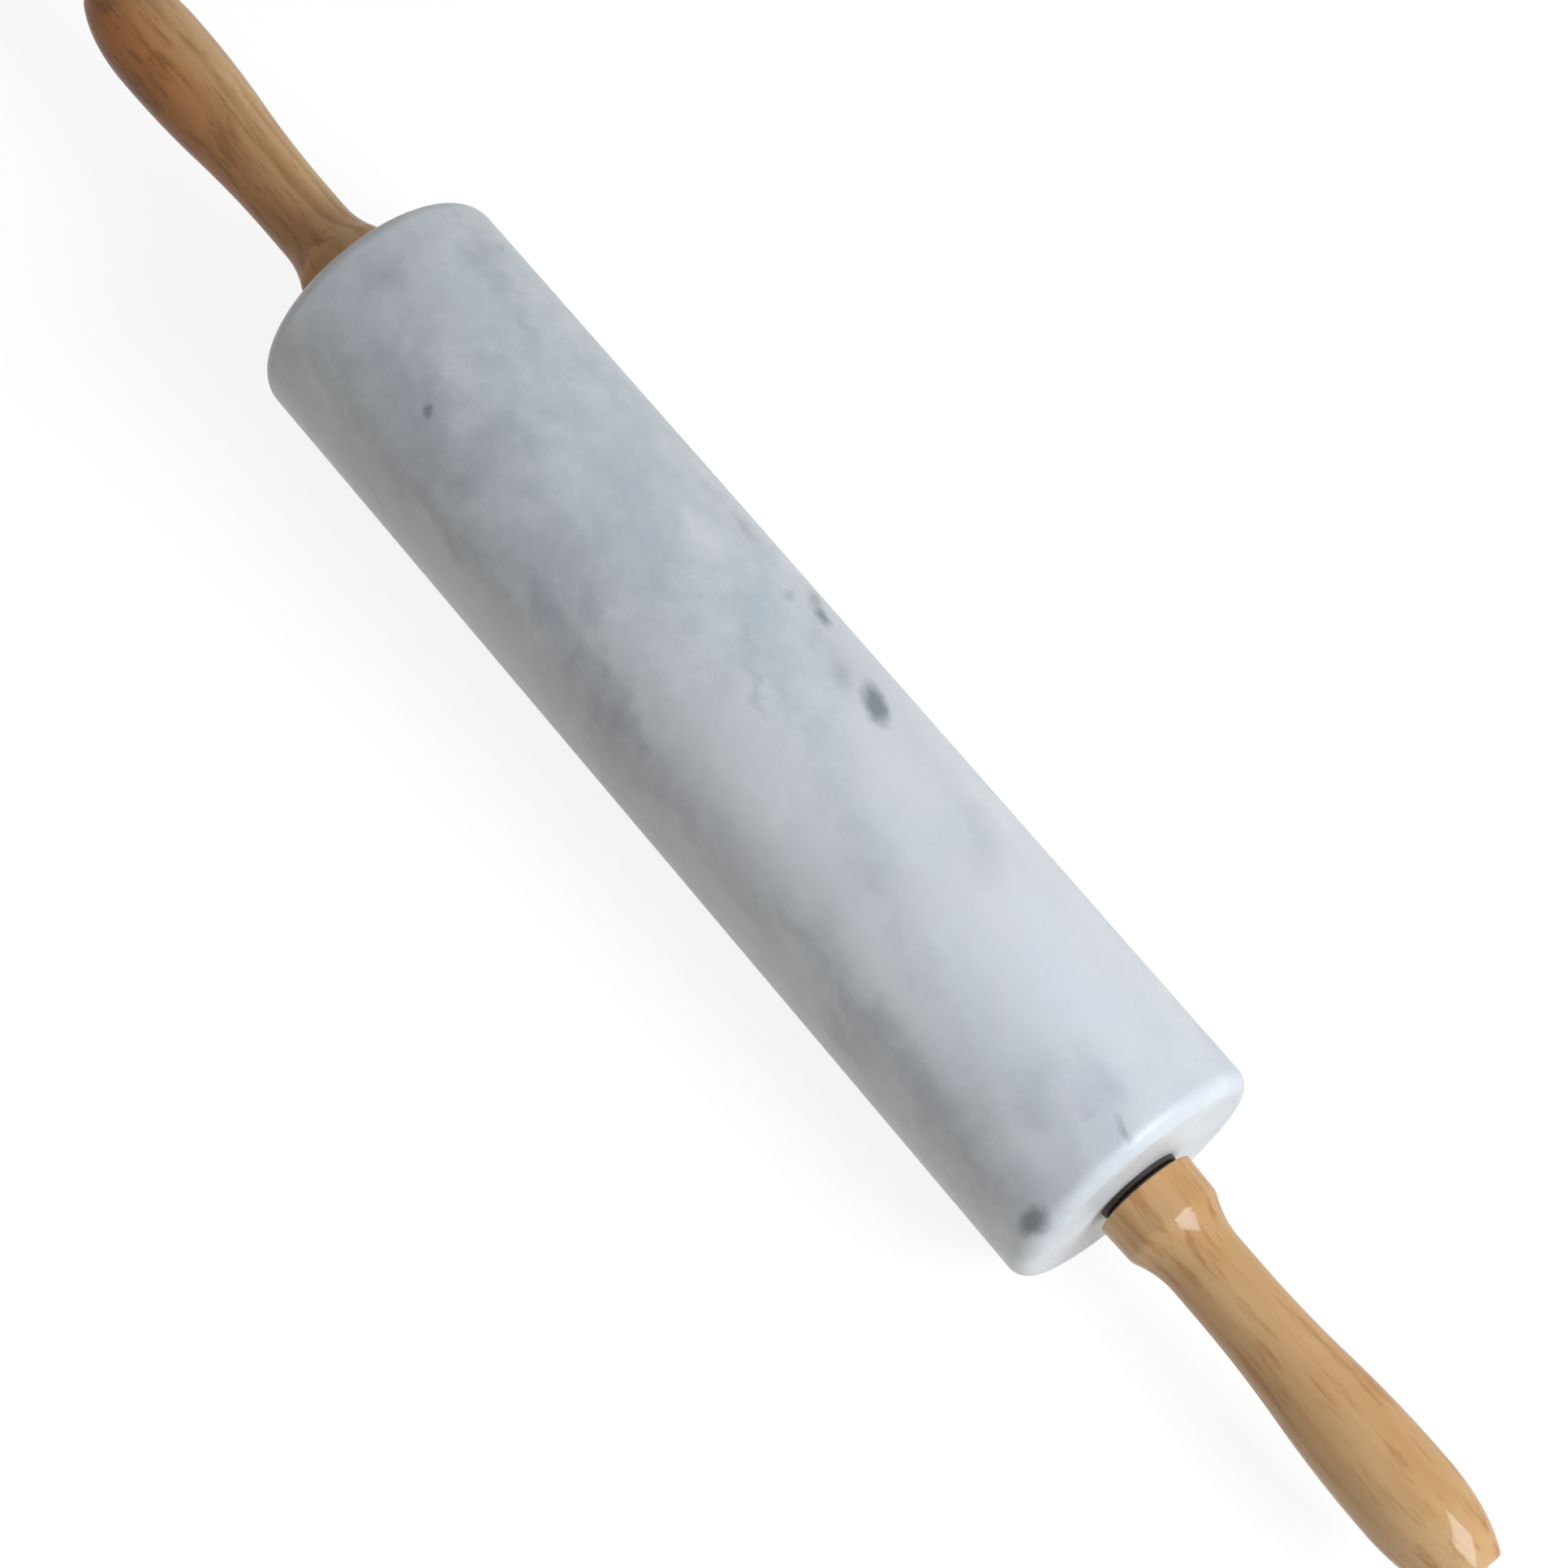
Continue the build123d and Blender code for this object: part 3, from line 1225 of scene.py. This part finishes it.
@dataclass
class Studio:
    """The pale floor, the soft light and the camera at the photograph's viewing angle.

    A key lamp above the right handle gives the small highlights and the shadow, and a weak fill
    lamp lights the near end. The sky is brighter towards the left and the back.
    """

    floor_size: float = 6000.0
    camera_place: tuple[float, float, float] = (244.81, -184.81, 762.21)
    camera_down: float = 68.983
    camera_turn: float = 51.203
    lens: float = 90.809
    sensor: float = 36.0
    key_place: tuple[float, float, float] = (559.0, 230.0, 535.0)
    key_size: tuple[float, float] = (500.0, 300.0)
    key_power: float = 5.9
    key_colour: str = "#E2EEFC"
    fill_place: tuple[float, float, float] = (900.0, -250.0, 250.0)
    fill_size: tuple[float, float] = (600.0, 400.0)
    fill_power: float = 0.8
    fill_colour: str = "#EDF3FC"
    sky_strength: float = 0.24
    sky_slope: float = 0.20
    sky_side: tuple[float, float, float] = (-0.61, 0.61, 0.50)
    floor_share: float = 0.26
    floor_glow: float = 0.84
    bounce_colour: str = "#F0EBDA"

    def build(self) -> None:
        """Make the floor, the world, the lamps and the camera."""
        self._floor()
        self._world()
        self._lamp("key", self.key_place, self.key_size, self.key_power, self.key_colour)
        self._lamp("fill", self.fill_place, self.fill_size, self.fill_power, self.fill_colour)
        self._camera()

    def _floor(self) -> None:
        """A plain floor under the barrel. The camera sees it white, with the pin's shadow."""
        low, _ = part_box("marble_barrel")
        half = self.floor_size * MM / 2
        mesh = bpy.data.meshes.new("floor")
        outline = ((-half, -half), (half, -half), (half, half), (-half, half))
        mesh.from_pydata([(x, y, low.z) for x, y in outline], [], [(0, 1, 2, 3)])
        floor = bpy.data.objects.new("floor", mesh)
        bpy.context.scene.collection.objects.link(floor)
        material, tree = new_material("pale_floor")
        seen = seen_or_mirrored(tree)
        lit = add_node(tree, "ShaderNodeBsdfDiffuse", {"Color": (self.floor_share,) * 3 + (1.0,)})
        glow = add_node(
            tree,
            "ShaderNodeEmission",
            {"Color": (1.0, 1.0, 1.0, 1.0), "Strength": self.floor_glow},
        )
        shown = add_node(
            tree, "ShaderNodeAddShader", {0: lit.outputs["BSDF"], 1: glow.outputs["Emission"]}
        )
        bounce = add_node(
            tree, "ShaderNodeBsdfDiffuse", {"Color": linear_colour(self.bounce_colour)}
        )
        both = add_node(
            tree,
            "ShaderNodeMixShader",
            {0: seen, 1: bounce.outputs["BSDF"], 2: shown.outputs["Shader"]},
        )
        add_node(tree, "ShaderNodeOutputMaterial", {"Surface": both.outputs["Shader"]})
        mesh.materials.append(material)

    def _world(self) -> None:
        """A sky brighter on one side, which the camera and glossy surfaces see as even white."""
        world = bpy.data.worlds.new("studio")
        world.use_nodes = True
        tree = world.node_tree
        tree.nodes.clear()
        towards_bright = add_node(
            tree,
            "ShaderNodeVectorMath",
            {0: add_node(tree, "ShaderNodeTexCoord").outputs["Generated"], 1: self.sky_side},
            operation="DOT_PRODUCT",
        )
        soft = add_node(
            tree,
            "ShaderNodeMath",
            {0: towards_bright.outputs["Value"], 1: self.sky_slope, 2: self.sky_strength},
            operation="MULTIPLY_ADD",
        )
        strength = add_node(
            tree,
            "ShaderNodeMapRange",
            {"Value": seen_or_mirrored(tree), "To Min": soft.outputs["Value"], "To Max": 1.0},
        )
        sky = add_node(
            tree,
            "ShaderNodeBackground",
            {"Color": (1.0, 1.0, 1.0, 1.0), "Strength": strength.outputs["Result"]},
        )
        add_node(tree, "ShaderNodeOutputWorld", {"Surface": sky.outputs["Background"]})
        bpy.context.scene.world = world

    def _lamp(
        self,
        name: str,
        place: tuple[float, float, float],
        size: tuple[float, float],
        power: float,
        colour: str,
    ) -> None:
        """A soft box that faces the pin."""
        lamp = bpy.data.lights.new(name, "AREA")
        lamp.shape = "RECTANGLE"
        lamp.size = size[0] * MM
        lamp.size_y = size[1] * MM
        lamp.energy = power
        lamp.color = linear_colour(colour)[:3]
        holder = bpy.data.objects.new(name, lamp)
        bpy.context.scene.collection.objects.link(holder)
        holder.location = Vector(place) * MM
        holder.rotation_euler = (-holder.location).to_track_quat("-Z", "Y").to_euler()

    def _camera(self) -> None:
        """The camera that took the photograph, fitted to the barrel's outline."""
        camera = bpy.data.cameras.new("camera")
        camera.sensor_width = self.sensor
        camera.lens = self.lens
        camera.clip_end = self.floor_size * MM * 2
        holder = bpy.data.objects.new("camera", camera)
        bpy.context.scene.collection.objects.link(holder)
        holder.location = Vector(self.camera_place) * MM
        holder.rotation_euler = (pi / 2 - radians(self.camera_down), 0, radians(self.camera_turn))
        bpy.context.scene.camera = holder


def main() -> None:
    """Load the frame, build the pin around it and light it."""
    logging.basicConfig(level=logging.INFO, format="%(message)s")
    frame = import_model()
    view = bpy.context.scene.view_settings
    view.view_transform = "Standard"
    Studio().build()
    MarbleBarrel().build()
    right_wood = VarnishedWood(
        name="right_varnished_wood",
        ground="#D8B48D",
        # Painted shade: this colour darkens the handle towards its upper side, which the key lamp
        # lights most, to even out its light
        painted_shade="#CA9F6F",
        deep="#BA8954",
        streak="#A8713C",
        vessel="#8E6234",
        streak_limits=(0.48, 0.70),
        vessel_limits=(0.634, 0.734),
        shade_side=26.0,
        shade_edge=0.0,
        shade_drift=0.0,
        shade_mm=16.0,
        pith=(-34.0, -22.0),
        streak_length_mm=18.0,
        streak_width_mm=2.4,
        vessel_length_mm=7.5,
    )
    left_wood = VarnishedWood(
        name="left_varnished_wood",
        # The ground is drawn a little paler than this wood, as painted light that makes up for the
        # barrel's shadow on the handle
        ground="#DFB583",
        # Painted shade: this colour darkens the handle towards its side away from the lamps, and
        # less of it falls near the collar, which is painted light where the barrel shades that end
        painted_shade="#BF7436",
        deep="#96602B",
        streak="#7C4C1E",
        vessel="#734826",
        streak_limits=(0.468, 0.692),
        vessel_limits=(0.592, 0.692),
        shade_side=-74.0,
        shade_edge=23.7,
        shade_drift=-0.11,
        shade_mm=24.0,
        pith=(28.0, -30.0),
        streak_length_mm=14.0,
        streak_width_mm=2.2,
        vessel_length_mm=6.0,
    )
    TurnedHandle(Side.RIGHT, right_wood).build()
    TurnedHandle(Side.LEFT, left_wood).build()
    Hardware(frame["nodes"]).build()


if __name__ == "__main__":
    main()
